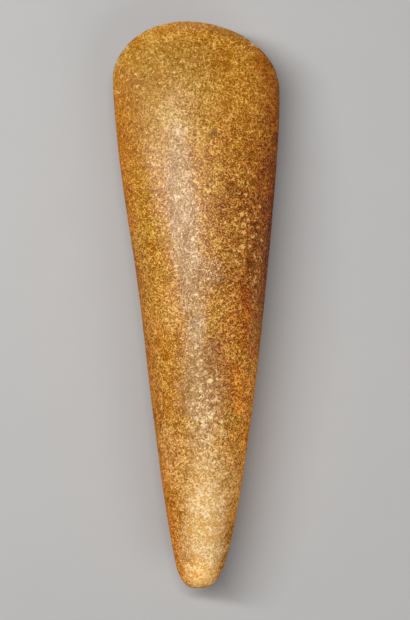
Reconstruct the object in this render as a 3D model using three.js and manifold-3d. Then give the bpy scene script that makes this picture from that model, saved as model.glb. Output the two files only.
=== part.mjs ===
// Polished stone axe head, lying on one broad face. Millimetres, +Z up, +Y towards the cutting edge.
// One solid: an oval-sectioned body that thins to a curved cutting edge and narrows to a rounded butt.

import * as THREE from 'three';
import { LoftGeometry } from 'three/addons/geometries/LoftGeometry.js';
import { mergeVertices } from 'three/addons/utils/BufferGeometryUtils.js';
import Module from 'manifold-3d';

// ---- driving dimensions ----

const LENGTH = 220;

// Half-breadths and half-thickness at stations measured back from the cutting edge,
// before the edge arc and the butt are rounded off.
const STATIONS = [0, 30, 60, 100, 150, 200, LENGTH];
const LEFT_BREADTH = [32.5, 32, 29, 23, 17, 10, 6];
const RIGHT_BREADTH = [31, 32.5, 31, 27.5, 22, 14, 8.5];
const HALF_THICKNESS = [0, 12, 17, 19.5, 16, 10.5, 7];

// The cutting edge is two quarter-ovals that meet at its foremost point.
const OVAL_CORNER_POWER = 2;
const EDGE_APEX_X = -4;
const EDGE_DEPTH_LEFT = 23;
const EDGE_DEPTH_RIGHT = 26;

// The section is a sharp lens at the cutting edge and has become an oval this far back.
const LENS_POWER = 2;
const OVAL_POWER = 1;
const OVAL_FROM = 56;

// The butt is a round end, a little blunter than an oval.
const BLUNT_CORNER_POWER = 3;
const BUTT_TIP_X = 0.5;
const BUTT_DEPTH = 12;

// A small flat worn on the underside, which the head lies on.
const REST_FLAT_DEPTH = 0.6;

// Mesh fineness.
const COLUMNS = 56;
const EDGE_ROWS = 10;
const BODY_ROWS = 30;
const BUTT_ROWS = 9;

const STONE_COLOUR = 0xb47f42;
const STONE_ROUGHNESS = 0.45;

// ---- profiles along the length ----

const curveOf = (values) => new THREE.CubicInterpolant(STATIONS, values, 1);
const leftBreadth = curveOf(LEFT_BREADTH);
const rightBreadth = curveOf(RIGHT_BREADTH);
const halfThickness = curveOf(HALF_THICKNESS);
const at = (curve, back) => curve.evaluate(back)[0];

// Rises from 0 at an end to 1 at the given depth.
function rounding(distance, depth, power) {
  const rest = Math.max(0, 1 - distance / depth);
  return Math.pow(1 - Math.pow(rest, power), 1 / power);
}

// The section at a distance back from the foremost point of the cutting edge.
function sectionAt(back) {
  const butt = rounding(LENGTH - back, BUTT_DEPTH, BLUNT_CORNER_POWER);
  const reach = (breadth, depth, apex) => {
    const corner = rounding(back, depth, OVAL_CORNER_POWER);
    const rounded = apex + (breadth - apex) * corner;
    return BUTT_TIP_X + (rounded - BUTT_TIP_X) * butt;
  };
  const left = reach(-at(leftBreadth, back), EDGE_DEPTH_LEFT, EDGE_APEX_X);
  const right = reach(at(rightBreadth, back), EDGE_DEPTH_RIGHT, EDGE_APEX_X);
  const oval = THREE.MathUtils.smoothstep(back, 0, OVAL_FROM);
  return {
    centre: (left + right) / 2,
    halfBreadth: (right - left) / 2,
    halfThickness: at(halfThickness, back) * butt,
    power: THREE.MathUtils.lerp(LENS_POWER, OVAL_POWER, oval),
  };
}

// One closed ring of points around the body, with a point on each end of its broad axis.
function ringAt(back) {
  const section = sectionAt(back);
  const ring = [];
  for (let i = 0; i < COLUMNS; i++) {
    const turn = (2 * Math.PI * i) / COLUMNS;
    const sine = Math.sin(turn);
    const rise = Math.sign(sine) * Math.pow(Math.abs(sine), section.power);
    ring.push(new THREE.Vector3(
      section.centre + section.halfBreadth * Math.cos(turn),
      LENGTH / 2 - back,
      section.halfThickness * rise
    ));
  }
  return ring;
}

// Rows stand close together where the outline turns: over the edge arc and over the butt.
function rowDistances() {
  const edgeDepth = (EDGE_DEPTH_LEFT + EDGE_DEPTH_RIGHT) / 2;
  const bodyLength = LENGTH - edgeDepth - BUTT_DEPTH;
  const quarter = Math.PI / 2;
  const rows = [];
  for (let i = 0; i < EDGE_ROWS; i++) {
    rows.push(edgeDepth * (1 - Math.cos((quarter * i) / EDGE_ROWS)));
  }
  for (let i = 0; i < BODY_ROWS; i++) {
    rows.push(edgeDepth + (bodyLength * i) / BODY_ROWS);
  }
  for (let i = 0; i <= BUTT_ROWS; i++) {
    rows.push(LENGTH - BUTT_DEPTH * (1 - Math.sin((quarter * i) / BUTT_ROWS)));
  }
  return rows;
}

// ---- solids ----

const wasm = await Module();
wasm.setup();

function solidFrom(geometry) {
  const bare = new THREE.BufferGeometry();
  bare.setAttribute('position', geometry.getAttribute('position'));
  bare.setIndex(geometry.getIndex());
  const merged = mergeVertices(bare);
  const index = merged.getIndex().array;
  const corners = [];
  for (let i = 0; i < index.length; i += 3) {
    const [a, b, c] = [index[i], index[i + 1], index[i + 2]];
    if (a !== b && b !== c && c !== a) corners.push(a, b, c);
  }
  return new wasm.Manifold(new wasm.Mesh({
    numProp: 3,
    vertProperties: merged.getAttribute('position').array,
    triVerts: new Uint32Array(corners),
  }));
}

function geometryFrom(solid) {
  const mesh = solid.getMesh();
  const geometry = new THREE.BufferGeometry();
  geometry.setAttribute('position', new THREE.BufferAttribute(mesh.vertProperties, 3));
  geometry.setIndex(new THREE.BufferAttribute(mesh.triVerts, 1));
  geometry.computeVertexNormals();
  return geometry;
}

// A block under the floor, which takes off the lowest part of the body to leave the small flat.
function blockUnderTheFloor() {
  const size = 2 * LENGTH;
  const block = new THREE.BoxGeometry(size, size, size);
  block.translate(0, 0, -size / 2);
  return solidFrom(block);
}

// The body stands over the origin: its outline is centred there and its underside dips just
// below the floor.
const outline = new LoftGeometry(rowDistances().map(ringAt));
outline.computeBoundingBox();
const { min, max } = outline.boundingBox;
outline.translate(-(min.x + max.x) / 2, 0, -min.z - REST_FLAT_DEPTH);

const axeHead = new THREE.Mesh(
  geometryFrom(solidFrom(outline).subtract(blockUnderTheFloor())),
  new THREE.MeshStandardMaterial({ color: STONE_COLOUR, roughness: STONE_ROUGHNESS, metalness: 0 })
);
axeHead.name = 'axe_head';

const part = new THREE.Group();
part.name = 'polished_stone_axe_head';
part.add(axeHead);

export default part;
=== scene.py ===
import math
from functools import lru_cache

import bmesh
import bpy
from bpy.props import FloatProperty, FloatVectorProperty, IntProperty, PointerProperty
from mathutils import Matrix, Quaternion, Vector, noise


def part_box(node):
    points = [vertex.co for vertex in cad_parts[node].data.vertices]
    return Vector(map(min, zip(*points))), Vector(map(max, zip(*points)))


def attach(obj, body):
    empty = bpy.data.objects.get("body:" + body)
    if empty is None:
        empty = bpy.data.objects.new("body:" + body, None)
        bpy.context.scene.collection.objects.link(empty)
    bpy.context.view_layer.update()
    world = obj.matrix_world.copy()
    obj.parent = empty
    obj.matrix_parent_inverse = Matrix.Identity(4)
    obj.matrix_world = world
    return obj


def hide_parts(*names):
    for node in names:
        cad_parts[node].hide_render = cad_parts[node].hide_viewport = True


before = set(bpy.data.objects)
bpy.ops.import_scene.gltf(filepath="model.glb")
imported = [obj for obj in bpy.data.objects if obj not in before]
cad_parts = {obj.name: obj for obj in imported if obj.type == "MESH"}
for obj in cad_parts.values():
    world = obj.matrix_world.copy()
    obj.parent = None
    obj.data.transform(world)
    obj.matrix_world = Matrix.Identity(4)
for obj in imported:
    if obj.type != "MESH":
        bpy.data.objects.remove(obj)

bl_info = {
    "name": "Polished stone axe head",
    "version": (1, 0, 0),
    "blender": (4, 5, 0),
    "location": "3D View > Sidebar > Axe head",
    "description": "Makes a ground and polished stone axe head and the table it lies on",
    "category": "Object",
}

MM = 0.001
CAD_NODE = "axe_head"
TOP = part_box(CAD_NODE)[1].z


def steps(*values):
    """Sizes written in millimetres, in metres."""
    return tuple(value * MM for value in values)


# ---- what a user would change ----


class HeadSizes(bpy.types.PropertyGroup):
    """The form of the axe head, as its maker would measure it."""

    stations: FloatVectorProperty(
        name="Stations",
        description="Distances back from the cutting edge at which the head is measured",
        size=7, unit="LENGTH", default=steps(0, 30, 60, 100, 150, 200, 220),
    )
    left: FloatVectorProperty(
        name="Left breadth",
        description="Reach to the left of the long axis at each station",
        size=7, unit="LENGTH", default=steps(32.5, 32, 29, 23, 17, 10, 6),
    )
    right: FloatVectorProperty(
        name="Right breadth",
        description="Reach to the right of the long axis at each station",
        size=7, unit="LENGTH", default=steps(31, 32.5, 31, 27.5, 22, 14, 8.5),
    )
    thickness: FloatVectorProperty(
        name="Half thickness",
        description="Rise of each face above the middle plane at each station",
        size=7, unit="LENGTH", default=steps(0, 12, 17, 19.5, 16, 10.5, 7),
    )
    edge_apex: FloatProperty(
        name="Edge apex", description="Foremost point of the cutting edge, across the head",
        default=-4 * MM, unit="LENGTH",
    )
    edge_depth_left: FloatProperty(
        name="Edge depth, left", description="How far the edge falls back on the left",
        default=23 * MM, unit="LENGTH",
    )
    edge_depth_right: FloatProperty(
        name="Edge depth, right", description="How far the edge falls back on the right",
        default=26 * MM, unit="LENGTH",
    )
    oval_from: FloatProperty(
        name="Oval from", description="Where the sharp section has become an oval",
        default=56 * MM, unit="LENGTH",
    )
    butt_tip: FloatProperty(
        name="Butt tip", description="Hindmost point of the butt, across the head",
        default=0.5 * MM, unit="LENGTH",
    )
    butt_depth: FloatProperty(
        name="Butt depth", description="Length over which the butt rounds off",
        default=12 * MM, unit="LENGTH",
    )
    rest_flat: FloatProperty(
        name="Rest flat", description="Depth of the flat worn on the underside",
        default=0.6 * MM, unit="LENGTH",
    )
    rows: IntProperty(name="Rows", description="Mesh rows along the head", default=350, min=40)
    columns: IntProperty(
        name="Columns", description="Mesh columns across one face, an even number",
        default=60, min=12, step=2,
    )


class StoneFinish(bpy.types.PropertyGroup):
    """Colours and polish of the stone."""

    speck: FloatVectorProperty(
        name="Dark speck", description="Darkest mineral grains",
        subtype="COLOR", size=3, default=(0.21, 0.066, 0.0),
    )
    brown: FloatVectorProperty(
        name="Brown", description="Darker part of the patina",
        subtype="COLOR", size=3, default=(0.375, 0.134, 0.001),
    )
    ochre: FloatVectorProperty(
        name="Ochre", description="Body colour of the patina",
        subtype="COLOR", size=3, default=(0.505, 0.223, 0.015),
    )
    grain: FloatVectorProperty(
        name="Light grain", description="Pale mineral grains",
        subtype="COLOR", size=3, default=(0.70, 0.350, 0.070),
    )
    cream: FloatVectorProperty(
        name="Cream fleck", description="Palest grains and large flecks",
        subtype="COLOR", size=3, default=(0.93, 0.58, 0.24),
    )
    fleck: FloatVectorProperty(
        name="Fleck", description="Large flecks in the stained side",
        subtype="COLOR", size=3, default=(0.95, 0.52, 0.15),
    )
    fleck_pale: FloatVectorProperty(
        name="Pale fleck", description="Large flecks in the greyish ground",
        subtype="COLOR", size=3, default=(0.99, 0.77, 0.42),
    )
    smudge: FloatVectorProperty(
        name="Smudge tint", description="Multiplies the patina at the small dark smudges",
        subtype="COLOR", size=3, default=(0.62, 0.60, 0.70),
    )
    # Lighter, more orange colour towards the butt: painted light over the orange patina.
    orange_painted_light: FloatVectorProperty(
        name="Ember tint", description="Multiplies the patina where it glows orange towards the butt",
        subtype="COLOR", size=3, default=(1.45, 1.31, 1.0),
    )
    orange: FloatVectorProperty(
        name="Orange tint", description="Multiplies the patina where it turns orange",
        subtype="COLOR", size=3, default=(1.06, 0.86, 0.50),
    )
    yellow: FloatVectorProperty(
        name="Yellow tint", description="Multiplies the patina where it turns yellow",
        subtype="COLOR", size=3, default=(0.96, 1.04, 0.80),
    )
    blush: FloatVectorProperty(
        name="Blush tint", description="Multiplies the patina where the stain fades into it",
        subtype="COLOR", size=3, default=(1.12, 0.97, 0.70),
    )
    rust: FloatVectorProperty(
        name="Rust tint", description="Multiplies the patina on the iron-stained side",
        subtype="COLOR", size=3, default=(0.64, 0.42, 0.19),
    )
    glow: FloatVectorProperty(
        name="Bright rust tint", description="Multiplies the patina where the stain is thinner",
        subtype="COLOR", size=3, default=(0.90, 0.55, 0.18),
    )
    flank: FloatVectorProperty(
        name="Flank tint", description="Multiplies the patina along the narrow sides",
        subtype="COLOR", size=3, default=(1.06, 0.86, 0.35),
    )
    olive: FloatVectorProperty(
        name="Olive tint", description="Multiplies the patina behind the edge",
        subtype="COLOR", size=3, default=(0.92, 0.97, 0.95),
    )
    bare_dark: FloatVectorProperty(
        name="Bare stone, dark", description="Darker part of the stone where the patina has worn off",
        subtype="COLOR", size=3, default=(0.70, 0.34, 0.06),
    )
    bare: FloatVectorProperty(
        name="Bare stone", description="Greyish tan stone where the patina has worn off",
        subtype="COLOR", size=3, default=(0.84, 0.50, 0.19),
    )
    bare_pale: FloatVectorProperty(
        name="Bare stone, pale", description="Pale network in the worn stone",
        subtype="COLOR", size=3, default=(1.0, 0.80, 0.48),
    )
    # The grey film is mostly a painted highlight: lighter, greyer colour along the crest where the lamp
    # is reflected.
    sheen_film_dark: FloatVectorProperty(
        name="Grey film, dark", description="Darker grains under the greyish film on the crest",
        subtype="COLOR", size=3, default=(0.28, 0.115, 0.018),
    )
    sheen_film: FloatVectorProperty(
        name="Grey film", description="Greyish mauve film rubbed into the crest of the face",
        subtype="COLOR", size=3, default=(0.50, 0.285, 0.11),
    )
    sheen_film_pale: FloatVectorProperty(
        name="Grey film, pale", description="Paler grains under the greyish film on the crest",
        subtype="COLOR", size=3, default=(0.95, 0.70, 0.44),
    )
    roughness: FloatProperty(
        name="Roughness", description="Polish of the ground faces",
        default=0.31, min=0.05, max=1.0, subtype="FACTOR",
    )


class TableSettings(bpy.types.PropertyGroup):
    """The floor, the lights and the camera."""

    floor_colour: FloatVectorProperty(
        name="Floor", description="Colour of the plain floor",
        subtype="COLOR", size=3, default=(0.50, 0.49, 0.48),
    )
    key_power: FloatProperty(
        name="Key light", description="Power of the main light", default=7.0, unit="POWER",
    )
    fill_power: FloatProperty(
        name="Fill light", description="Power of the soft light", default=2.2, unit="POWER",
    )
    surround: FloatProperty(
        name="Surround", description="Brightness of the room around the table",
        default=0.08, min=0.0,
    )


# ---- the form ----


def fair(stations, values, back):
    """The value at a distance back from the edge, on a smooth curve through the stations."""
    last = len(stations) - 2
    i = next((k for k in range(last, 0, -1) if stations[k] <= back), 0)

    def slope(k):
        return (values[k + 1] - values[k]) / (stations[k + 1] - stations[k])

    start = (slope(i) + slope(max(i - 1, 0))) / 2
    end = (slope(i) + slope(min(i + 1, last))) / 2
    span = stations[i + 1] - stations[i]
    t = (back - stations[i]) / span
    return (
        (2 * t**3 - 3 * t**2 + 1) * values[i]
        + (t**3 - 2 * t**2 + t) * span * start
        + (3 * t**2 - 2 * t**3) * values[i + 1]
        + (t**3 - t**2) * span * end
    )


def rounding(distance, depth, power):
    """Rises from 0 at an end to 1 at the given depth."""
    rest = min(1.0, max(0.0, 1 - distance / depth))
    return (1 - rest**power) ** (1 / power)


def smooth(value, low, high):
    """0 below low, 1 above high, with an even S between them."""
    t = min(1.0, max(0.0, (value - low) / (high - low)))
    return t * t * (3 - 2 * t)


class Head:
    """Works out points on the smooth head from its sizes."""

    OVAL_CORNER = 2
    BLUNT_CORNER = 3

    def __init__(self, sizes):
        self.sizes = sizes
        self.stations = list(sizes.stations)
        self.left, self.right = list(sizes.left), list(sizes.right)
        self.thickness = list(sizes.thickness)
        self.length = self.stations[-1]
        self.section = lru_cache(maxsize=None)(self.section)

    def section(self, back):
        """(centre, half breadth, half thickness, sharpness) at a distance back from the edge."""
        s = self.sizes
        butt = rounding(self.length - back, s.butt_depth, self.BLUNT_CORNER)

        def reach(breadth, depth):
            corner = rounding(back, depth, self.OVAL_CORNER)
            rounded = s.edge_apex + (breadth - s.edge_apex) * corner
            return s.butt_tip + (rounded - s.butt_tip) * butt

        left = reach(-fair(self.stations, self.left, back), s.edge_depth_left)
        right = reach(fair(self.stations, self.right, back), s.edge_depth_right)
        rise = fair(self.stations, self.thickness, back) * butt
        sharp = 1 - smooth(back, 0, s.oval_from)
        return (left + right) / 2, (right - left) / 2, rise, sharp

    def point(self, back, turn):
        """The point on the section at a turn from the right-hand edge, over the top face."""
        centre, half_breadth, rise, sharp = self.section(back)
        even = 1 - 2 * abs(turn) / math.pi
        across = math.cos(turn) * (1 - sharp) + even * sharp
        bulge = max(0.0, 1 - across * across) ** ((1 + sharp) / 2)
        up = math.copysign(bulge, turn)
        return Vector((centre + half_breadth * across, self.length / 2 - back, rise * up))


def turn_of(x, z):
    """The turn, from minus to plus half a circle, of a point round a square."""
    if abs(z) > abs(x):
        return math.copysign(math.pi / 2, z) - math.pi / 4 * x / z
    if x > 0:
        return math.pi / 4 * z / x
    if x < 0:
        return math.copysign(math.pi, z) + math.pi / 4 * z / x
    return 0.0


# Lengths of the head that the two end faces of the box become.
EDGE_CAP = 12 * MM
BUTT_CAP = 3 * MM


def shape_box(bm, head, rows, columns):
    """Cuts a box into an even grid and bends the grid into the head."""
    bmesh.ops.create_cube(bm, size=2)

    def run(edge):
        return abs(edge.verts[0].co.y - edge.verts[1].co.y)

    bmesh.ops.subdivide_edges(bm, edges=[e for e in bm.edges if run(e) > 1], cuts=rows - 1)
    bmesh.ops.subdivide_edges(
        bm, edges=[e for e in bm.edges if run(e) < 1 / rows], cuts=columns - 1, use_grid_fill=True
    )
    body = head.length - EDGE_CAP - BUTT_CAP
    end_face = 1 - 1 / rows
    for vert in bm.verts:
        x, y, z = vert.co
        if y > end_face:
            back = EDGE_CAP * max(abs(x), abs(z)) ** 2
        elif y < -end_face:
            back = head.length - BUTT_CAP * max(abs(x), abs(z)) ** 3
        else:
            back = EDGE_CAP + body * (1 - y) / 2
        vert.co = head.point(back, turn_of(x, z))


# ---- the worked surface ----

# Size and height, in millimetres, of the slow waves that grinding left.
WAVES = ((27 * MM, 0.10), (9 * MM, 0.05))

# Pecked pits: their spacing, their reach and wall as shares of it, and their depth in millimetres.
PIT_SPACING = 2.4 * MM
PIT_REACH = 0.45
PIT_WALL = 0.35
PIT_DEPTH = 0.16

# They lie thickest in patches of the butt, from the first of these distances before its end to the
# second, thinner between the patches, and thinnest on the rest of the head.
BUTT_PECKED = steps(62, 18)
PECKED_PATCH_SIZE = 7 * MM
PECKED_PATCH_EDGE = (-0.1, 0.35)
PECKED_BETWEEN_PATCHES = 0.35
PECKED_EVERYWHERE = 0.18

# Waves and pits die away where the half thickness is less than this.
THIN = 4 * MM
WAVES_WHERE_THIN = 0.3

# Millimetres taken off all over, so that the waves stay within the smooth form.
GROUND_OFF = 0.07

NICKS = (
    # across, back, reach and depth of each small chip in the edge and sides
    steps(22.3, 8.9, 1.6, 0.32),
    steps(-27.5, 11.0, 2.4, 0.18),
    steps(-30.6, 16.5, 2.0, 0.16),
    steps(31.8, 21.5, 1.8, 0.2),
    steps(30.4, 74.0, 1.6, 0.3),
    steps(-13.0, 1.8, 1.5, 0.14),
    steps(9.0, 2.4, 1.3, 0.14),
)
# How much taller than broad a chip is, how much of its reach is slope, and the depth at which the
# stone in it is wholly bruised.
NICK_FLATNESS = 0.8
NICK_SLOPE = 0.7
BRUISE_DEPTH = 0.4 * MM


def share(value, least):
    """A value from 0 to 1 moved to between the least and 1."""
    return least + (1 - least) * value


def relief(place, back, half_thickness, length):
    """How far the worked surface stands off the smooth form, in metres, and how pitted it is."""
    waves = sum(height * noise.noise(place / size) for size, height in WAVES)
    butt = smooth(back, *(length - before_end for before_end in BUTT_PECKED))
    patchy = smooth(noise.noise(place / PECKED_PATCH_SIZE), *PECKED_PATCH_EDGE)
    distances, _ = noise.voronoi(place / PIT_SPACING)
    pit = smooth(PIT_REACH - distances[0], 0, PIT_WALL)
    peck = pit * share(butt * share(patchy, PECKED_BETWEEN_PATCHES), PECKED_EVERYWHERE)
    keep = smooth(half_thickness, 0, THIN)
    off = waves * share(keep, WAVES_WHERE_THIN) - PIT_DEPTH * peck * keep - GROUND_OFF
    return off * MM, peck


def nick_depth(place, back):
    """How deep the small chips bite here."""
    deepest = 0.0
    for across, at, reach, depth in NICKS:
        gap = Vector((place.x - across, back - at, place.z * NICK_FLATNESS)).length
        if gap < reach:
            deepest = max(deepest, depth * smooth(reach - gap, 0, reach * NICK_SLOPE))
    return deepest


def work_surface(bm, head, shift):
    """Grinds, pecks and chips the smooth form, and marks how pitted each point is."""
    pits = bm.verts.layers.float.new("pits")
    bm.normal_update()
    moved = []
    for vert in bm.verts:
        back = head.length / 2 - vert.co.y
        rise = head.section(back)[2] if back < head.length else 0.0
        off, peck = relief(vert.co, back, rise, head.length)
        bite = nick_depth(vert.co, back)
        vert[pits] = min(1.0, peck + bite / BRUISE_DEPTH)
        moved.append(vert.co + vert.normal * (off - bite))
    for vert, place in zip(bm.verts, moved):
        vert.co = place + shift
        vert.co.z = max(vert.co.z, 0.0)


# ---- shader helpers ----


def add(tree, kind, inputs=None, **settings):
    """Adds a node, sets its options, and sets or links its inputs."""
    made = tree.nodes.new(kind)
    for name, value in settings.items():
        setattr(made, name, value)
    for key, value in (inputs or {}).items():
        socket = made.inputs[key]
        if isinstance(value, bpy.types.NodeSocket):
            tree.links.new(value, socket)
        elif socket.type == "RGBA" and len(value) == 3:
            socket.default_value = (*value, 1.0)
        else:
            socket.default_value = value
    return made


def calc(tree, operation, a, b=0.0):
    """One step of arithmetic on two values."""
    return add(tree, "ShaderNodeMath", {0: a, 1: b}, operation=operation).outputs[0]


def blend(tree, factor, a, b, how="MIX"):
    """Colour a going to colour b as the factor rises."""
    mixed = add(
        tree, "ShaderNodeMix", {0: factor, 6: a, 7: b}, data_type="RGBA", blend_type=how
    )
    return mixed.outputs[2]


def spread(tree, value, low, high, to_low=0.0, to_high=1.0):
    """A smooth step of the value from low to high."""
    ranged = add(
        tree, "ShaderNodeMapRange",
        {"Value": value, "From Min": low, "From Max": high, "To Min": to_low, "To Max": to_high},
        interpolation_type="SMOOTHSTEP",
    )
    return ranged.outputs["Result"]


def cloud(tree, place, size, detail=2.0, roughness=0.55):
    """Soft noise with features of about this size."""
    made = add(
        tree, "ShaderNodeTexNoise",
        {"Vector": place, "Scale": 1 / size, "Detail": detail, "Roughness": roughness},
    )
    return made.outputs["Fac"]


def lean(tree, place, slope):
    """The place sheared sideways, so that a patch drawn there leans off the long axis."""
    parts = add(tree, "ShaderNodeSeparateXYZ", {"Vector": place})
    across = total(tree, parts.outputs["X"], calc(tree, "MULTIPLY", parts.outputs["Y"], slope))
    return add(
        tree, "ShaderNodeCombineXYZ",
        {"X": across, "Y": parts.outputs["Y"], "Z": parts.outputs["Z"]},
    ).outputs[0]


def patch(tree, place, centre, radii, ragged, wander, core=0.25):
    """1 in the middle of an oval patch and 0 outside it, with a ragged border."""
    away = add(tree, "ShaderNodeVectorMath", {0: place, 1: centre}, operation="SUBTRACT")
    scaled = add(
        tree, "ShaderNodeVectorMath",
        {0: away.outputs[0], 1: tuple(1 / r for r in radii)}, operation="MULTIPLY",
    )
    far = add(tree, "ShaderNodeVectorMath", {0: scaled.outputs[0]}, operation="LENGTH")
    worn = calc(tree, "MULTIPLY", calc(tree, "SUBTRACT", wander, 0.5), ragged)
    return spread(tree, calc(tree, "ADD", far.outputs["Value"], worn), 1.0, core)


def offset(tree, place, size, reach):
    """The place nudged about by soft noise, so that what is drawn there wanders."""
    warp = add(tree, "ShaderNodeTexNoise", {"Vector": place, "Scale": 1 / size, "Detail": 1.0})
    centred = add(
        tree, "ShaderNodeVectorMath", {0: warp.outputs["Color"], 1: (0.5, 0.5, 0.5)},
        operation="SUBTRACT",
    )
    nudge = add(
        tree, "ShaderNodeVectorMath", {0: centred.outputs[0], "Scale": reach}, operation="SCALE"
    )
    return add(
        tree, "ShaderNodeVectorMath", {0: place, 1: nudge.outputs[0]}, operation="ADD"
    ).outputs[0]


def swing(tree, value, gain, middle=0.5):
    """How far the value swings from its middle, times a gain."""
    return calc(tree, "MULTIPLY", calc(tree, "SUBTRACT", value, middle), gain)


def most(tree, *values):
    """The largest of several values."""
    result = values[0]
    for value in values[1:]:
        result = calc(tree, "MAXIMUM", result, value)
    return result


def total(tree, *values):
    """The sum of several values."""
    result = values[0]
    for value in values[1:]:
        result = calc(tree, "ADD", result, value)
    return result


def ridges(tree, place, size, width):
    """Thin winding lines: 1 along their middle, 0 beside them."""
    off = calc(tree, "ABSOLUTE", swing(tree, cloud(tree, place, size, 0.0), 1.0))
    return spread(tree, off, width, 0.0)


def ramp(tree, value, *stops):
    """Colours read off a scale of (position, colour) stops."""
    made = add(tree, "ShaderNodeValToRGB", {"Fac": value})
    elements = made.color_ramp.elements
    while len(elements) < len(stops):
        elements.new(0.5)
    for element, (position, colour) in zip(elements, stops):
        element.position = position
        element.color = (*colour, 1.0)
    return made.outputs["Color"]


# ---- where the stone differs ----


def below(depth):
    """A height this many millimetres below the crest of the upper face, in millimetres."""
    return TOP / MM - depth


MIDDLE = TOP / MM / 2

PLACES = {
    # the middle (across, along, up), the three half sizes, and how ragged the border is
    "rust": (steps(29, 26, below(12)), steps(31, 62, 36), 0.9),  # iron stain on the right side
    "corner": (steps(32, 90, 15), steps(16, 34, 24), 0.6),  # painted shade: the stain darker at its end by the cutting edge
    "shade": (steps(33, 75, 15), steps(14, 26, 24), 0.6),  # painted shade, darkest on the right side by the cutting edge
    "brown": (steps(7.5, -29, below(5)), steps(8.5, 30, 14), 0.8),  # brown border of the streak
    "blush": (steps(16, -14, below(8)), steps(11, 36, 16), 0.7),  # where the stain thins out
    "flush": (steps(17.5, 0, below(9)), steps(9, 9, 14), 0.6),  # orange spot in the stain
    "strip": (steps(-30, -8, 18), steps(9, 78, 12), 0.9),  # orange left side
    "olive": (steps(-12, 84, below(10)), steps(28, 34, 26), 0.9),  # olive ground behind the edge
    "gold": (steps(-19, 40, below(8)), steps(11, 36, 18), 0.8),  # golden ground left of the streak
    "shine": (steps(-8, 75, below(7)), steps(12, 24, 12), 0.9),  # painted highlight at the head of the streak
    "grey": (steps(4, 11, below(3)), steps(8, 10, 12), 0.9),  # grey spot in the streak, painted highlight
    "mauve": (steps(1.2, -30, below(5)), steps(11, 36, 14), 0.9),  # painted highlight along the tail of the streak
    "beside": (steps(19, 26, below(6)), steps(14, 36, 20), 0.8),  # flecks right of the streak
    "lower": (steps(4.5, -46, below(5)), steps(10, 37, 16), 0.8),  # flecks in the streak's tail
    "worn": (steps(2.8, -88, below(10)), steps(11.5, 51, 16), 0.9),  # bare stone towards the butt
    "bevel": (steps(-12, 108, MIDDLE), steps(28, 11, 14), 0.5),  # pale left half of the edge
    "tip": (steps(0.5, -108, MIDDLE), steps(22, 14, 22), 0.3),  # golden end of the butt
    "orange_painted_light": (steps(20, -56, 14), steps(13, 76, 28), 0.6),  # orange right side towards the butt, lightened there as painted light
    "painted_light_left": (steps(-14, -86, 14), steps(13, 44, 28), 0.6),  # orange left side towards the butt, lightened there as painted light
}

# The painted highlight: a lighter, greyer streak along the crest, leaning a little off the long axis.
SHEEN_STREAK = (steps(-1.6, 28, below(3)), steps(7.6, 64, 12), 0.8)
SHEEN_STREAK_CORE = 0.45
SHEEN_STREAK_LEAN = 0.098

FADED = (
    # pale places beside the streak, as in PLACES
    (steps(-9, -57, below(9)), steps(10, 19, 14), 0.7),
    (steps(-8.5, -1, below(8)), steps(7, 16, 14), 0.7),
    (steps(13.5, -68, below(12)), steps(6, 20, 14), 0.7),
)

UMBER_AND_SHADE = (
    # dark brown ground between the clusters of flecks, made darker right of the streak as painted
    # shade; as in PLACES
    (steps(12.5, 41, below(5)), steps(8.5, 9.5, 14), 0.6),
    (steps(20, 26, below(9)), steps(6.5, 14, 14), 0.6),
)

# Height of the middle of every small mark on the upper face.
UPPER_FACE = TOP - 4 * MM

PAINTED_GLOSS = (
    # across, along, half breadth and half length of the painted highlights, pale glossy spots along the
    # streak, and how much
    (*steps(-12.5, 75.5, 5.5, 9), 0.2),
    (*steps(-6.2, 66.5, 3.5, 7), 0.7),
    (*steps(-9.2, 59.0, 3.0, 6), 0.9),
    (*steps(-4.0, 44.0, 4.5, 14), 0.9),
    (*steps(-4.3, 34.3, 4.0, 5), 1.0),
    (*steps(-0.2, 16.0, 4.2, 10), 1.5),
    (*steps(0.2, -8.0, 7.0, 19), 1.5),
)
PAINTED_GLOSS_RISE = 12 * MM
PAINTED_GLOSS_RAGGED = 0.9

FLECKS = (
    # across, along and reach of the largest single flecks on the upper face
    steps(5.3, -29.3, 1.1),
    steps(8.2, -28.6, 0.6),
    steps(1.5, -18.8, 0.8),
    steps(0.7, -39.5, 0.7),
    steps(5.3, -41.2, 0.8),
    steps(5.1, -43.0, 0.8),
    steps(9.6, -45.0, 0.7),
    steps(7.2, -60.5, 0.7),
    steps(6.8, 100.5, 1.4),
    steps(-1.2, 25.1, 0.8),
    steps(4.7, 43.1, 1.0),
    steps(8.7, 41.0, 0.5),
    steps(11.4, 41.3, 0.5),
    steps(16.2, 42.5, 0.5),
    steps(19.0, 42.1, 0.6),
    steps(13.3, 37.5, 0.6),
    steps(17.3, 34.7, 1.0),
    steps(15.0, 32.6, 0.6),
    steps(20.0, 32.2, 0.8),
    steps(18.3, 30.7, 1.0),
    steps(18.1, 27.6, 0.9),
    steps(21.7, 26.1, 0.6),
    steps(17.9, 22.3, 1.1),
    steps(20.7, 22.3, 0.6),
    steps(16.4, 20.2, 0.7),
    steps(15.2, 16.6, 0.8),
)
FLECK_RISE = 20 * MM
FLECK_CORE = 0.65

SMUDGES = (
    # across, along and reach of the small dark smudges on the upper face
    steps(6.9, 65.7, 3.0),
    steps(9.7, 9.2, 3.4),
    steps(-1.5, -7.0, 2.2),
)
SMUDGE_RISE = 9 * MM
SMUDGE_RAGGED = 0.6
SMUDGE_CORE = 0.1

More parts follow.
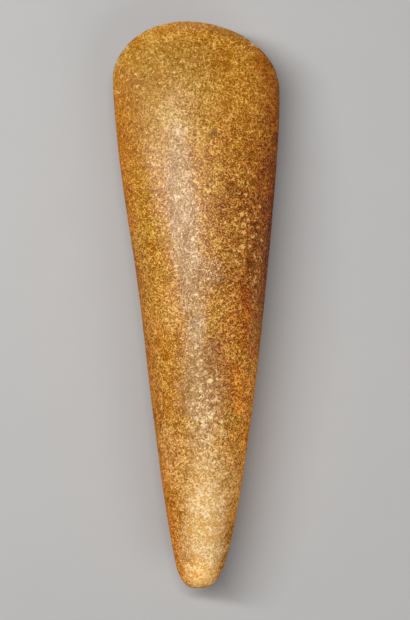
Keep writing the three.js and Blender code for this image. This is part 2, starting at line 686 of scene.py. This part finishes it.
# Where the masks that follow the sides, the edge and the butt rise from 0 to 1: across the head,
# along it, or off its middle plane.
FLANK_OFF_MIDDLE = (0.325 * TOP, 0.05 * TOP)
FLANK_ALONG = steps(96, 72)
RIM_OFF_MIDDLE = steps(1.5, 0.5)
RIM_ALONG = steps(84, 96)
RIM_RIGHT = steps(28, 14)
RIM_LEFT = steps(-14, 2)
RIM_LEFT_LEAST = 0.2
LOW_LEFT_ACROSS = steps(-1, -12)
LOW_LEFT_ALONG = steps(20, -10)
LOW_PAINTED_LIGHT_ALONG = steps(-48, -72)
WARM_TIP_ACROSS = steps(-6, 4)
QUIET_ALONG = steps(15, 90)
QUIET_BY_EDGE = 0.3
CALM_ACROSS = steps(0, -14)
CALM_ON_LEFT = -0.18

# ---- how strongly each place tells ----

# How much calmer or livelier the grain is there than elsewhere.
QUIET = {"mauve": 0.5, "sheen_streak": 0.42, "painted_gloss": 0.5, "rim": 0.65}
LIVELY = {"rust": 0.7, "beside": 0.4, "blush": 0.35}

# How much lighter or darker the grain is there; at the glossy spots, the head of the streak and the
# orange sides towards the butt this lightening is painted light. Of the gleams, only the strongest
# counts.
LIGHTER = {
    "painted_gloss": 0.12, "bevel": 0.20, "gold": 0.07, "tip": 0.17, "low_painted_light": 0.09,
    "worn": -0.07, "beside": -0.07, "rim": -0.14, "mauve": -0.10,
}
GLEAM = {"shine": 0.14, "faded": 0.196, "orange_painted_light": 0.14}

# Where pale lines and flecks show, and how far the hue leans to yellow, or to orange below 0.
LINED = {"worn": 1.0, "lower": 0.7}
CROWDED = {"beside": 0.6, "lower": 0.85}
DASHED = {"lower": 0.85, "beside": 0.25}
YELLOWER = {"olive": 0.25, "strip": -0.6, "low_left": -0.12}

# How thick the greyish film lies; along the streak, at its head and tail and on the glossy spots it is
# a painted highlight.
SHEEN_FILMED = {
    "sheen_streak": 0.85, "mauve": 0.85, "grey": 0.6, "painted_gloss": 0.95,
    "faded": 0.2, "rim": 0.35, "shine": 0.42, "olive": 0.18,
}

# Place, strength and colour of the tints: under the stain; over it, as painted shade; over the bare
# stone, partly painted light; over the film, among them more painted shade and painted light.
PATINA_TINTS = (
    ("olive", 0.8, "olive"), ("flank", 1.0, "flank"), ("gold", 0.4, "yellow"), ("blush", 1.0, "blush"),
)
PAINTED_SHADE_TINTS = (("stain_and_painted_shade", 0.8, "rust"),)
BUTT_TINTS = (("orange_painted_light", 1.0, "orange_painted_light"), ("painted_light_left", 0.6, "orange_painted_light"))
LAST_TINTS = (
    ("brown", 0.6, "rust"), ("tip", 0.5, "orange_painted_light"), ("warm_tip", 0.45, "flank"),
    ("umber_and_shade", 0.4, "rust"), ("shade", 0.6, "rust"), ("flush", 0.55, "flank"),
)

# ---- the grain ----

GRAIN_SIZE = {
    "crystals": 0.62 * MM, "dust": 0.38 * MM, "coarse": 0.9 * MM, "clumps": 3.0 * MM,
    "threads": 0.85 * MM, "cords": 1.6 * MM, "squiggles": 2.3 * MM, "strands": 1.0 * MM,
    "dashes": 1.7 * MM, "gaps": 2.1 * MM, "islands": 2.2 * MM, "flecks": 1.3 * MM,
}
THREAD_WIDTH = 0.09
STRAND_WIDTH = 0.10
LINE_WIDTH = 0.075
STRAND_STRETCH = (1.0, 0.3, 1.0)

# Values between which each mark goes from nothing to full.
DOT_EDGE = (0.47, 0.68)
GAP_EDGE = (0.50, 0.62)
ISLAND_EDGE = (0.0, 0.05)
FLECK_EDGE = (0.46, 0.34)
STAIN_EDGE = (0.46, 0.66)

GRAIN_SWING = {
    # how strongly each layer lightens and darkens the grain, and the value that leaves it alone
    "crystals": (0.26, 0.5),
    "dust": (0.7, 0.5),
    "dots": (0.40, 0.33),
    "coarse": (1.55, 0.5),
    "clumps": (0.9, 0.5),
    "threads": (0.58, 0.33),
    "cords": (0.52, 0.2),
}
STRAND_SWING = (0.32, 0.28)
SLOW_SWING = 0.6
GRAIN_LEVEL = 0.45
LINES_LIGHTER = 0.48
ISLANDS_LIGHTER = 0.30

# How far each blotch or crystal swings the hue, to yellow above its middle and to orange below.
HUE_OF_MID, HUE_OF_SLOW, HUE_OF_CRYSTAL = 1.1, 0.9, 0.1

# The bar that an island or a fleck has to pass to show, and how much it drops where flecks crowd.
ISLAND_BAR, ISLAND_BAR_DROP = 0.64, 0.10
FLECK_BAR, FLECK_BAR_DROP = 0.992, 0.30
FLECK_RAGGED = 1.6
FLECK_STRENGTH = 0.85
DASHES_ANYWHERE = 0.12

# How much rougher, or smoother below 0, each thing makes the polish.
ROUGHER_MID, ROUGHER_GRAIN, ROUGHER_FILM, ROUGHER_FLANK = 0.2, -0.10, 0.08, 0.65
PITS_PALER = 0.25
BUMP_STRENGTH, BUMP_HEIGHT = 0.5, 0.035 * MM
STONE_IOR, STONE_SPECULAR = 1.5, 0.27


def blank_material(name):
    """A new material with an empty node tree."""
    mat = bpy.data.materials.new(name)
    mat.use_nodes = True
    mat.node_tree.nodes.clear()
    return mat


class StoneTree:
    """The nodes of the stone: where it differs, then its grain, colours, flecks and polish."""

    def __init__(self, tree, finish):
        self.tree = tree
        self.finish = finish
        self.place = add(tree, "ShaderNodeTexCoord").outputs["Object"]
        parts = add(tree, "ShaderNodeSeparateXYZ", {"Vector": self.place}).outputs
        self.across, self.along, self.height = parts["X"], parts["Y"], parts["Z"]
        self.slow = cloud(tree, self.place, 20 * MM, 3.0, 0.6)
        self.mid = cloud(tree, self.place, 7 * MM, 3.0, 0.6)
        self.at = self.face_masks()
        self.at.update(self.side_masks())
        self.crowd = most(tree, *self.weighed(CROWDED))
        self.wander = offset(tree, self.place, 1.3 * MM, 1.6 * MM)
        self.coarse = cloud(tree, self.wander, GRAIN_SIZE["coarse"], 1.0, 0.6)
        self.tone = self.cell_colours(self.wander, GRAIN_SIZE["crystals"])[0]
        self.grain = self.draw_grain()

    def times(self, a, b):
        return calc(self.tree, "MULTIPLY", a, b)

    def weighed(self, weights):
        """The masks of the named places, each times its weight."""
        return [self.times(self.at[name], weight) for name, weight in weights.items()]

    def tinted(self, colour, tints):
        """The colour multiplied by a tint at each named place."""
        for name, strength, tint in tints:
            factor = self.times(self.at[name], strength)
            colour = blend(self.tree, factor, colour, getattr(self.finish, tint), "MULTIPLY")
        return colour

    def mask(self, centre, radii, ragged, core=0.25):
        return patch(self.tree, self.place, centre, radii, ragged, self.mid, core)

    def cell_colours(self, place, size):
        """A scatter of cells: a random colour for each, and the distance from its middle."""
        made = add(self.tree, "ShaderNodeTexVoronoi", {"Vector": place, "Scale": 1 / size})
        parts = add(self.tree, "ShaderNodeSeparateColor", {"Color": made.outputs["Color"]})
        return parts.outputs, made.outputs["Distance"]

    def face_masks(self):
        """Masks of the patches on the faces, by name."""
        tree = self.tree
        masks = {name: self.mask(*where) for name, where in PLACES.items()}
        leaning = lean(tree, self.place, SHEEN_STREAK_LEAN)
        masks["sheen_streak"] = patch(tree, leaning, *SHEEN_STREAK, self.mid, SHEEN_STREAK_CORE)
        masks["faded"] = most(tree, *(self.mask(*where) for where in FADED))
        masks["umber_and_shade"] = most(tree, *(self.mask(*where) for where in UMBER_AND_SHADE))
        # painted highlights: pale glossy spots along the streak
        masks["painted_gloss"] = most(tree, *(
            self.times(much, self.mask((x, y, UPPER_FACE), (a, b, PAINTED_GLOSS_RISE), PAINTED_GLOSS_RAGGED, 0.0))
            for x, y, a, b, much in PAINTED_GLOSS
        ))
        return masks

    def side_masks(self):
        """Masks of the sides, of the rim behind the cutting edge and of the butt, by name."""
        tree, across, along = self.tree, self.across, self.along
        off_middle = calc(tree, "ABSOLUTE", swing(tree, self.height, 1.0, TOP / 2))
        flank = self.times(
            spread(tree, off_middle, *FLANK_OFF_MIDDLE), spread(tree, along, *FLANK_ALONG)
        )
        low_left = self.times(
            spread(tree, across, *LOW_LEFT_ACROSS), spread(tree, along, *LOW_LEFT_ALONG)
        )
        band = self.times(
            spread(tree, along, *RIM_ALONG), spread(tree, off_middle, *RIM_OFF_MIDDLE)
        )
        stretch = self.times(
            spread(tree, across, *RIM_RIGHT), spread(tree, across, *RIM_LEFT, RIM_LEFT_LEAST)
        )
        return {
            "flank": flank,
            "low_left": low_left,
            "rim": self.times(band, stretch),
            # painted shade on the stain, at the corner by the edge and on the narrow side
            "stain_and_painted_shade": most(tree, self.at["corner"], self.times(self.at["rust"], flank)),
            # painted light: the lower end of the orange side made lighter
            "low_painted_light": self.times(self.at["orange_painted_light"], spread(tree, along, *LOW_PAINTED_LIGHT_ALONG)),
            "warm_tip": self.times(self.at["tip"], spread(tree, across, *WARM_TIP_ACROSS)),
        }

    def draw_speckle(self):
        """The even part of the grain: crystals, dust, clumps and the pale threads between them."""
        tree, place, size = self.tree, self.wander, GRAIN_SIZE
        dust = cloud(tree, place, size["dust"], 0.0)
        layers = {
            "crystals": self.tone["Red"],
            "dust": dust,
            "dots": spread(tree, dust, *DOT_EDGE),
            "coarse": self.coarse,
            "clumps": cloud(tree, place, size["clumps"], 1.0, 0.6),
            "threads": ridges(tree, place, size["threads"], THREAD_WIDTH),
            "cords": ridges(tree, place, size["cords"], LINE_WIDTH),
        }
        return total(tree, *(swing(tree, layers[name], *how) for name, how in GRAIN_SWING.items()))

    def draw_strands(self):
        """Fine pale strands along the streak and the glossy spots, where the grain catches the painted
        highlight.
        """
        tree = self.tree
        stretched = add(tree, "ShaderNodeMapping", {"Vector": self.wander, "Scale": STRAND_STRETCH})
        lines = ridges(tree, stretched.outputs[0], GRAIN_SIZE["strands"], STRAND_WIDTH)
        strength = most(tree, self.at["sheen_streak"], self.at["painted_gloss"])
        return self.times(swing(tree, lines, *STRAND_SWING), strength)

    def draw_islands(self):
        """Pale islands, more of them where flecks crowd."""
        tree = self.tree
        bar = calc(tree, "SUBTRACT", ISLAND_BAR, self.times(self.crowd, ISLAND_BAR_DROP))
        waves = cloud(tree, self.wander, GRAIN_SIZE["islands"], 2.0, 0.5)
        return spread(tree, calc(tree, "SUBTRACT", waves, bar), *ISLAND_EDGE)

    def draw_grain(self):
        """The whole grain: about 0 in the darkest grains and 1 in the palest."""
        tree = self.tree
        quiet = most(
            tree, *self.weighed(QUIET), spread(tree, self.along, *QUIET_ALONG, 0.0, QUIET_BY_EDGE)
        )
        lively = total(
            tree, 1.0, self.times(quiet, -1.0), *self.weighed(LIVELY),
            spread(tree, self.across, *CALM_ACROSS, 0.0, CALM_ON_LEFT),
        )
        squiggles = ridges(tree, self.wander, GRAIN_SIZE["squiggles"], LINE_WIDTH)
        lines = self.times(squiggles, most(tree, *self.weighed(LINED)))
        return total(
            tree, GRAIN_LEVEL,
            self.times(self.draw_speckle(), lively),
            swing(tree, self.slow, SLOW_SWING),
            self.times(lines, LINES_LIGHTER),
            self.draw_strands(),
            self.times(self.draw_islands(), ISLANDS_LIGHTER),
            most(tree, *self.weighed(GLEAM)),
            *self.weighed(LIGHTER),
        )

    def patina(self):
        """Ochre patina, from orange to yellow, stained with rust on the right side."""
        tree, finish = self.tree, self.finish
        colour = ramp(
            tree, self.grain,
            (0.0, finish.speck), (0.25, finish.brown), (0.5, finish.ochre),
            (0.75, finish.grain), (1.0, finish.cream),
        )
        hue = total(
            tree, 0.5, swing(tree, self.mid, HUE_OF_MID), swing(tree, self.slow, HUE_OF_SLOW),
            swing(tree, self.tone["Green"], HUE_OF_CRYSTAL), *self.weighed(YELLOWER),
        )
        tint = blend(tree, spread(tree, hue, 0.0, 1.0), finish.orange, finish.yellow)
        colour = self.tinted(blend(tree, 1.0, colour, tint, "MULTIPLY"), PATINA_TINTS)
        stain = blend(tree, spread(tree, self.mid, *STAIN_EDGE), finish.rust, finish.glow)
        colour = blend(tree, self.at["rust"], colour, stain, "MULTIPLY")
        return self.tinted(colour, PAINTED_SHADE_TINTS)

    def wear_through(self, colour):
        """Bare stone where the patina has worn off towards the butt."""
        tree, finish = self.tree, self.finish
        stone = ramp(
            tree, self.grain, (0.15, finish.bare_dark), (0.5, finish.bare), (0.88, finish.bare_pale)
        )
        return self.tinted(blend(tree, self.at["worn"], colour, stone), BUTT_TINTS)

    def paint_film_and_sheen(self, colour, painted_sheen):
        """The greyish film along the streak, which is its painted highlight, and the last tints over
        everything, painted shade among them.
        """
        tree, finish = self.tree, self.finish
        sheen_film = ramp(
            tree, self.grain, (0.1, finish.sheen_film_dark), (0.5, finish.sheen_film), (0.95, finish.sheen_film_pale)
        )
        return self.tinted(blend(tree, painted_sheen, colour, sheen_film), LAST_TINTS)

    def scatter_marks(self, colour):
        """Cream flecks and dashes, gathered in clusters, the largest flecks, and small dark smudges."""
        tree, finish = self.tree, self.finish
        stray = offset(tree, self.place, 0.9 * MM, 2.4 * MM)
        chosen, distance = self.cell_colours(stray, GRAIN_SIZE["flecks"])
        bar = calc(tree, "SUBTRACT", FLECK_BAR, self.times(self.crowd, FLECK_BAR_DROP))
        picked = calc(tree, "GREATER_THAN", chosen["Green"], bar)
        ragged = total(tree, distance, swing(tree, self.coarse, FLECK_RAGGED))
        fleck = self.times(picked, spread(tree, ragged, *FLECK_EDGE))
        gaps = spread(tree, cloud(tree, self.place, GRAIN_SIZE["gaps"], 1.0), *GAP_EDGE)
        dashes = self.times(ridges(tree, self.wander, GRAIN_SIZE["dashes"], LINE_WIDTH), gaps)
        dashed = total(tree, DASHES_ANYWHERE, *self.weighed(DASHED))
        spots = most(tree, *(
            patch(tree, stray, (x, y, UPPER_FACE), (r, r, FLECK_RISE), 0.0, self.mid, FLECK_CORE)
            for x, y, r in FLECKS
        ))
        on_film = most(tree, self.at["lower"], self.at["sheen_streak"])
        pale = blend(tree, on_film, finish.fleck, finish.fleck_pale)
        scattered = most(tree, self.times(fleck, FLECK_STRENGTH), self.times(dashes, dashed))
        colour = blend(tree, scattered, colour, pale)
        colour = blend(tree, self.times(spots, FLECK_STRENGTH), colour, pale)
        smudges = most(tree, *(
            patch(
                tree, stray, (x, y, UPPER_FACE), (r, r, SMUDGE_RISE), SMUDGE_RAGGED, self.coarse,
                SMUDGE_CORE,
            )
            for x, y, r in SMUDGES
        ))
        return blend(tree, smudges, colour, finish.smudge, "MULTIPLY")

    def polish(self, painted_sheen, pits):
        """Satin on the faces, duller on the painted highlight film, in the pits and on the narrow
        sides.
        """
        tree = self.tree
        return total(
            tree, self.finish.roughness,
            swing(tree, self.mid, ROUGHER_MID), swing(tree, self.grain, ROUGHER_GRAIN),
            self.times(most(tree, painted_sheen, pits), ROUGHER_FILM),
            self.times(self.at["flank"], ROUGHER_FLANK),
        )


def stone_material(finish):
    """Ochre patina over a grained stone, worn to a satin polish."""
    mat = blank_material("ground_stone")
    tree = mat.node_tree
    stone = StoneTree(tree, finish)
    # the painted highlight along the crest, and the greyish film elsewhere
    painted_sheen = most(tree, *stone.weighed(SHEEN_FILMED))
    pits = add(tree, "ShaderNodeAttribute", attribute_name="pits").outputs["Fac"]
    colour = stone.paint_film_and_sheen(stone.wear_through(stone.patina()), painted_sheen)
    colour = stone.scatter_marks(colour)
    colour = blend(tree, stone.times(pits, PITS_PALER), colour, finish.cream)
    bump = add(
        tree, "ShaderNodeBump",
        {"Strength": BUMP_STRENGTH, "Distance": BUMP_HEIGHT, "Height": stone.grain},
    )
    shader = add(
        tree, "ShaderNodeBsdfPrincipled",
        {"Base Color": colour, "Roughness": stone.polish(painted_sheen, pits),
         "Normal": bump.outputs["Normal"], "IOR": STONE_IOR,
         "Specular IOR Level": STONE_SPECULAR},
    )
    add(tree, "ShaderNodeOutputMaterial", {"Surface": shader.outputs[0]})
    return mat


def floor_material(colour):
    """A plain pale board with the faintest unevenness."""
    mat = blank_material("pale_floor")
    tree = mat.node_tree
    place = add(tree, "ShaderNodeTexCoord").outputs["Object"]
    soft = cloud(tree, place, 300 * MM, 2.0)
    paint = blend(tree, soft, tuple(c * 0.985 for c in colour), colour)
    rough = spread(tree, cloud(tree, place, 20 * MM), 0.2, 0.8, 0.7, 0.8)
    bump = add(
        tree, "ShaderNodeBump",
        {"Strength": 0.1, "Distance": 0.05 * MM, "Height": cloud(tree, place, 2 * MM)},
    )
    shader = add(
        tree, "ShaderNodeBsdfPrincipled",
        {"Base Color": paint, "Roughness": rough, "Normal": bump.outputs["Normal"]},
    )
    add(tree, "ShaderNodeOutputMaterial", {"Surface": shader.outputs[0]})
    return mat


def link(name, data):
    """Puts new data in the scene as an object."""
    made = bpy.data.objects.new(name, data)
    bpy.context.scene.collection.objects.link(made)
    return made


# ---- operators ----


class AXEHEAD_OT_make_head(bpy.types.Operator):
    """Make the stone head: form, ground surface, small chips and finish"""

    bl_idname = "axehead.make_head"
    bl_label = "Make the stone head"
    bl_options = {"REGISTER", "UNDO"}

    def execute(self, context):
        sizes = context.scene.axe_head_sizes
        if sizes.columns % 2:
            raise ValueError("the columns must be even, so that one lies on the cutting edge")
        head = Head(sizes)
        bm = bmesh.new()
        shape_box(bm, head, sizes.rows, sizes.columns)
        low = Vector(tuple(min(v.co[k] for v in bm.verts) for k in range(3)))
        high = Vector(tuple(max(v.co[k] for v in bm.verts) for k in range(3)))
        shift = Vector((-(low.x + high.x) / 2, 0.0, -low.z - sizes.rest_flat))
        work_surface(bm, head, shift)
        bmesh.ops.recalc_face_normals(bm, faces=bm.faces)
        mesh = bpy.data.meshes.new("stone_head")
        bm.to_mesh(mesh)
        bm.free()
        mesh.shade_smooth()
        piece = link("stone_head", mesh)
        mesh.materials.append(stone_material(context.scene.axe_head_finish))
        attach(piece, "root")
        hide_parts(CAD_NODE)
        return {"FINISHED"}


class AXEHEAD_OT_make_table(bpy.types.Operator):
    """Make the plain floor, the soft lights and the camera above"""

    bl_idname = "axehead.make_table"
    bl_label = "Make the floor, lights and camera"
    bl_options = {"REGISTER", "UNDO"}

    FLOOR_SIZE = 8.0
    KEY_PLACE, KEY_SIZE, KEY_TWIST = (-0.28, 0.17, 0.78), (0.10, 0.90), 27
    FILL_PLACE, FILL_SIZE, FILL_TWIST = (0.50, -0.45, 0.70), (0.60, 0.60), 0
    ROOM_COLOUR = (0.9, 0.92, 0.95, 1)
    FRAME_MIDDLE = steps(3.4, -2.1)
    FRAME_HEIGHT = 240.6 * MM
    CAMERA_RISE = 0.95
    CLIP_START = 0.05
    SENSOR = 36.0

    def execute(self, context):
        scene = context.scene
        settings = scene.axe_head_table
        self.add_floor(settings)
        self.add_light(
            "key_light", self.KEY_PLACE, self.KEY_SIZE, self.KEY_TWIST, settings.key_power
        )
        self.add_light(
            "fill_light", self.FILL_PLACE, self.FILL_SIZE, self.FILL_TWIST, settings.fill_power
        )
        self.add_room(scene, settings.surround)
        self.add_camera(scene)
        scene.view_settings.view_transform = "Standard"
        return {"FINISHED"}

    def add_floor(self, settings):
        bm = bmesh.new()
        bmesh.ops.create_grid(bm, x_segments=1, y_segments=1, size=self.FLOOR_SIZE / 2)
        mesh = bpy.data.meshes.new("floor")
        bm.to_mesh(mesh)
        bm.free()
        mesh.materials.append(floor_material(tuple(settings.floor_colour)))
        link("floor", mesh)

    def add_room(self, scene, brightness):
        world = bpy.data.worlds.new("room")
        world.use_nodes = True
        background = world.node_tree.nodes["Background"]
        background.inputs["Color"].default_value = self.ROOM_COLOUR
        background.inputs["Strength"].default_value = brightness
        scene.world = world

    def add_camera(self, scene):
        camera = link("camera", bpy.data.cameras.new("camera"))
        camera.location = (*self.FRAME_MIDDLE, TOP / 2 + self.CAMERA_RISE)
        camera.data.sensor_width = self.SENSOR
        camera.data.lens = self.SENSOR * self.CAMERA_RISE / self.FRAME_HEIGHT
        camera.data.clip_start = self.CLIP_START
        scene.camera = camera

    def add_light(self, name, place, size, twist, power):
        data = bpy.data.lights.new(name, "AREA")
        data.shape = "RECTANGLE"
        data.size, data.size_y = size
        data.energy = power
        light = link(name, data)
        light.location = place
        light.rotation_mode = "QUATERNION"
        facing = (Vector((0.0, 0.0, TOP / 2)) - Vector(place)).to_track_quat("-Z", "Y")
        light.rotation_quaternion = facing @ Quaternion((0, 0, 1), math.radians(twist))


class AXEHEAD_PT_panel(bpy.types.Panel):
    """Buttons and settings for the axe head"""

    bl_idname = "AXEHEAD_PT_panel"
    bl_label = "Polished stone axe head"
    bl_space_type = "VIEW_3D"
    bl_region_type = "UI"
    bl_category = "Axe head"

    def draw(self, context):
        layout = self.layout
        scene = context.scene
        for group in (scene.axe_head_sizes, scene.axe_head_finish, scene.axe_head_table):
            column = layout.column()
            for name in group.__annotations__:
                column.prop(group, name)
        layout.operator(AXEHEAD_OT_make_head.bl_idname)
        layout.operator(AXEHEAD_OT_make_table.bl_idname)


CLASSES = (
    HeadSizes,
    StoneFinish,
    TableSettings,
    AXEHEAD_OT_make_head,
    AXEHEAD_OT_make_table,
    AXEHEAD_PT_panel,
)


def register():
    for cls in CLASSES:
        bpy.utils.register_class(cls)
    bpy.types.Scene.axe_head_sizes = PointerProperty(type=HeadSizes)
    bpy.types.Scene.axe_head_finish = PointerProperty(type=StoneFinish)
    bpy.types.Scene.axe_head_table = PointerProperty(type=TableSettings)


def unregister():
    del bpy.types.Scene.axe_head_table
    del bpy.types.Scene.axe_head_finish
    del bpy.types.Scene.axe_head_sizes
    for cls in reversed(CLASSES):
        bpy.utils.unregister_class(cls)


def main():
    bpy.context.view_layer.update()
    register()
    bpy.ops.axehead.make_head()
    bpy.ops.axehead.make_table()
    bpy.context.view_layer.update()


if __name__ == "__main__":
    main()
